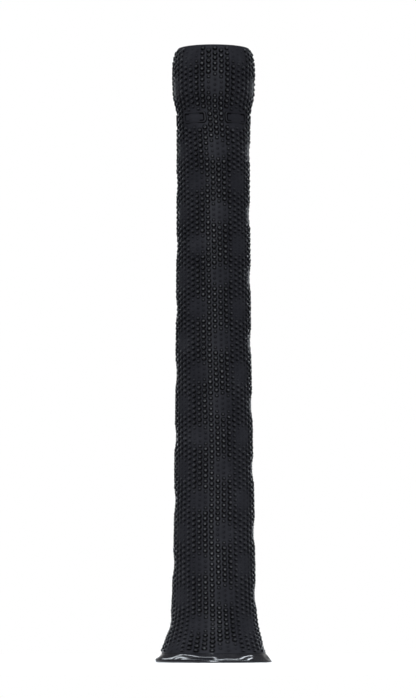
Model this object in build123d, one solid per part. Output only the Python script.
from build123d import *
import os

# Slip-on rubber grip for a bat handle, standing upright on its turned-out lip.
# A thick outer skin is bonded round a thin smooth sleeve, and a loose card tube inside keeps
# the limp rubber straight and round until the grip is fitted.
# Millimetres. Origin: centre of the base plane. +Z runs up the axis to the cuffed end.
# The skin's outside is the ground its 0.85 high pimples stand on.

# Heights along the axis
GRIP_LENGTH = 290.0
CUFF_FOOT = 267.5  # underside of the thick end band
NECK_HEIGHT = 260.5  # end of the slope below the band
WAIST_HEIGHT = 212.0  # the slimmest place
SHOULDER_HEIGHT = 170.0
MIDDLE_HEIGHT = 128.0
BELLY_HEIGHT = 58.0
HEEL_HEIGHT = 32.0  # where the flare starts
FLARE_HEIGHT = 14.0  # half way down the flare
SKIN_EDGE_HEIGHT = 4.4  # the skin ends here and the lip comes out from under it
STRAIGHT_BORE_END = 180.0  # the bore is straight above this height

# Radii of the skin's ground
CUFF_RADIUS = 18.8
NECK_RADIUS = 17.1
WAIST_RADIUS = 16.7
SHOULDER_RADIUS = 17.0
MIDDLE_RADIUS = 17.4
BELLY_RADIUS = 18.5
HEEL_RADIUS = 19.1
FLARE_RADIUS = 21.15
SKIN_EDGE_RADIUS = 24.5

# Walls
SLEEVE_WALL = 0.6
SKIN_WALL = 1.0
LIP_WALL = 1.5
CUFF_ROUNDING = 2.0  # the band's rounded top edge
RIM_ROUNDING = 0.5  # the same edge, inside
SLEEVE_TOP_RECESS = 0.4

# The lip, turned out to a blunt edge and flat underneath
LIP_RADIUS = 27.4
LIP_EDGE_HEIGHT = 1.5
FLARE_END = (0.4, -0.92)  # radial and axial direction of the flare where the skin ends

# Five blank raised plates round the body just under the band
PLATE_COUNT = 5
PLATE_WIDTH = 14.0
PLATE_HEIGHT = 5.6
PLATE_CORNER = 1.6
PLATE_RISE = 0.4
PLATE_CENTRE_HEIGHT = 255.7
PLATE_FIRST_ANGLE = -49.0

# The card tube
CORE_BORE_RADIUS = 13.0
CORE_RADIUS = 14.5
CORE_RECESS = 2.0  # how far its top sits below the rubber
CORE_END_BREAK = 0.3

BOND_RADIUS = WAIST_RADIUS - SKIN_WALL  # where skin and sleeve meet, in the straight part
BORE_RADIUS = BOND_RADIUS - SLEEVE_WALL
LIP_ROOT_RADIUS = SKIN_EDGE_RADIUS - SKIN_WALL
LIP_SLOPE = (SKIN_EDGE_HEIGHT - LIP_EDGE_HEIGHT) / (LIP_RADIUS - LIP_ROOT_RADIUS)
LIP_DEPTH = LIP_WALL * (1 + LIP_SLOPE**2) ** 0.5  # the lip's wall, measured straight down
LIP_FOOT_RADIUS = LIP_ROOT_RADIUS + (SKIN_EDGE_HEIGHT - LIP_DEPTH) / LIP_SLOPE  # inner edge of the flat foot


def at(radius, height):
    return Vector(radius, 0, height)


def rounding(centre, radius, first_angle):
    """A quarter circle in the outline's plane, turning 90 degrees from first_angle."""
    ends = [centre + Vector(radius, 0, 0).rotate(Axis.Y, -first_angle - step) for step in (0, 45, 90)]
    return ThreePointArc(*ends)


def turned(edges):
    """The solid of revolution about +Z whose half outline is edges, in order."""
    return revolve(Face(Wire(edges)), Axis.Z, 360)


def flaring_curve(wall, end):
    """Half outline of a surface lying wall under the skin's ground, from the straight bore down to end."""
    points = [
        at(WAIST_RADIUS - wall, STRAIGHT_BORE_END),
        at(MIDDLE_RADIUS - wall, MIDDLE_HEIGHT),
        at(BELLY_RADIUS - wall, BELLY_HEIGHT),
        at(HEEL_RADIUS - wall, HEEL_HEIGHT),
        at(FLARE_RADIUS - wall, FLARE_HEIGHT),
        end,
    ]
    return Spline(*points, tangents=[Vector(0, 0, -1), Vector(FLARE_END[0], 0, FLARE_END[1])])


def bond_curve(top):
    """Where the sleeve's outside and the skin's inside meet, from the top down to the lip's root."""
    straight = Line(at(BOND_RADIUS, top), at(BOND_RADIUS, STRAIGHT_BORE_END))
    return [straight, flaring_curve(SKIN_WALL, at(LIP_ROOT_RADIUS, SKIN_EDGE_HEIGHT))]


def skin_ground():
    """The skin's outside without its pimples, from the lower edge up to the band's rounded top."""
    body = Spline(
        at(SKIN_EDGE_RADIUS, SKIN_EDGE_HEIGHT),
        at(FLARE_RADIUS, FLARE_HEIGHT),
        at(HEEL_RADIUS, HEEL_HEIGHT),
        at(BELLY_RADIUS, BELLY_HEIGHT),
        at(MIDDLE_RADIUS, MIDDLE_HEIGHT),
        at(SHOULDER_RADIUS, SHOULDER_HEIGHT),
        at(WAIST_RADIUS, WAIST_HEIGHT),
        at(NECK_RADIUS, NECK_HEIGHT),
        tangents=[Vector(-FLARE_END[0], 0, -FLARE_END[1]), Vector(0.03, 0, 1)],
    )
    slope = Spline(
        at(NECK_RADIUS, NECK_HEIGHT),
        at(CUFF_RADIUS, CUFF_FOOT),
        tangents=[Vector(0.03, 0, 1), Vector(0, 0, 1)],
    )
    band = Line(at(CUFF_RADIUS, CUFF_FOOT), at(CUFF_RADIUS, GRIP_LENGTH - CUFF_ROUNDING))
    return [body, slope, band]


def raised_plates():
    """Blank rounded plates standing PLATE_RISE off the neck, rooted inside the skin's wall."""
    ring = Cylinder(NECK_RADIUS + PLATE_RISE, PLATE_HEIGHT) - Cylinder(NECK_RADIUS - SKIN_WALL, PLATE_HEIGHT)
    shape = RectangleRounded(PLATE_WIDTH, PLATE_HEIGHT, PLATE_CORNER)
    blank = extrude(Plane.YZ * shape, NECK_RADIUS * 2)
    plate = Pos(0, 0, PLATE_CENTRE_HEIGHT) * (blank & ring)
    turn = 360 / PLATE_COUNT
    return [Rot(0, 0, PLATE_FIRST_ANGLE + turn * k) * plate for k in range(PLATE_COUNT)]


def make_outer_skin():
    top = GRIP_LENGTH
    lower_edge = Line(at(LIP_ROOT_RADIUS, SKIN_EDGE_HEIGHT), at(SKIN_EDGE_RADIUS, SKIN_EDGE_HEIGHT))
    outer_rounding = rounding(at(CUFF_RADIUS - CUFF_ROUNDING, top - CUFF_ROUNDING), CUFF_ROUNDING, 0)
    rim = Line(at(CUFF_RADIUS - CUFF_ROUNDING, top), at(BOND_RADIUS + RIM_ROUNDING, top))
    inner_rounding = rounding(at(BOND_RADIUS + RIM_ROUNDING, top - RIM_ROUNDING), RIM_ROUNDING, 90)
    inside = bond_curve(top - RIM_ROUNDING)
    skin = turned([lower_edge, *skin_ground(), outer_rounding, rim, inner_rounding, *inside])
    for plate in raised_plates():
        skin = skin + plate
    return skin


def make_inner_sleeve():
    top = GRIP_LENGTH - SLEEVE_TOP_RECESS
    flare_foot = at(LIP_ROOT_RADIUS - LIP_WALL, SKIN_EDGE_HEIGHT - LIP_DEPTH + LIP_SLOPE * LIP_WALL)
    outline = [
        *bond_curve(top),
        Line(at(LIP_ROOT_RADIUS, SKIN_EDGE_HEIGHT), at(LIP_RADIUS, LIP_EDGE_HEIGHT)),
        Line(at(LIP_RADIUS, LIP_EDGE_HEIGHT), at(LIP_RADIUS, 0)),
        Line(at(LIP_RADIUS, 0), at(LIP_FOOT_RADIUS, 0)),
        Line(at(LIP_FOOT_RADIUS, 0), flare_foot),
        flaring_curve(SKIN_WALL + SLEEVE_WALL, flare_foot),
        Line(at(BORE_RADIUS, STRAIGHT_BORE_END), at(BORE_RADIUS, top)),
        Line(at(BORE_RADIUS, top), at(BOND_RADIUS, top)),
    ]
    return turned(outline)


def make_core_tube():
    length = GRIP_LENGTH - CORE_RECESS
    tube = Cylinder(CORE_RADIUS, length) - Cylinder(CORE_BORE_RADIUS, length)
    tube = chamfer(tube.edges().filter_by(GeomType.CIRCLE), CORE_END_BREAK)
    return Pos(0, 0, length / 2) * tube


os.makedirs("parts", exist_ok=True)
export_step(make_outer_skin(), "parts/outer_skin.step")
export_step(make_inner_sleeve(), "parts/inner_sleeve.step")
export_step(make_core_tube(), "parts/core_tube.step")
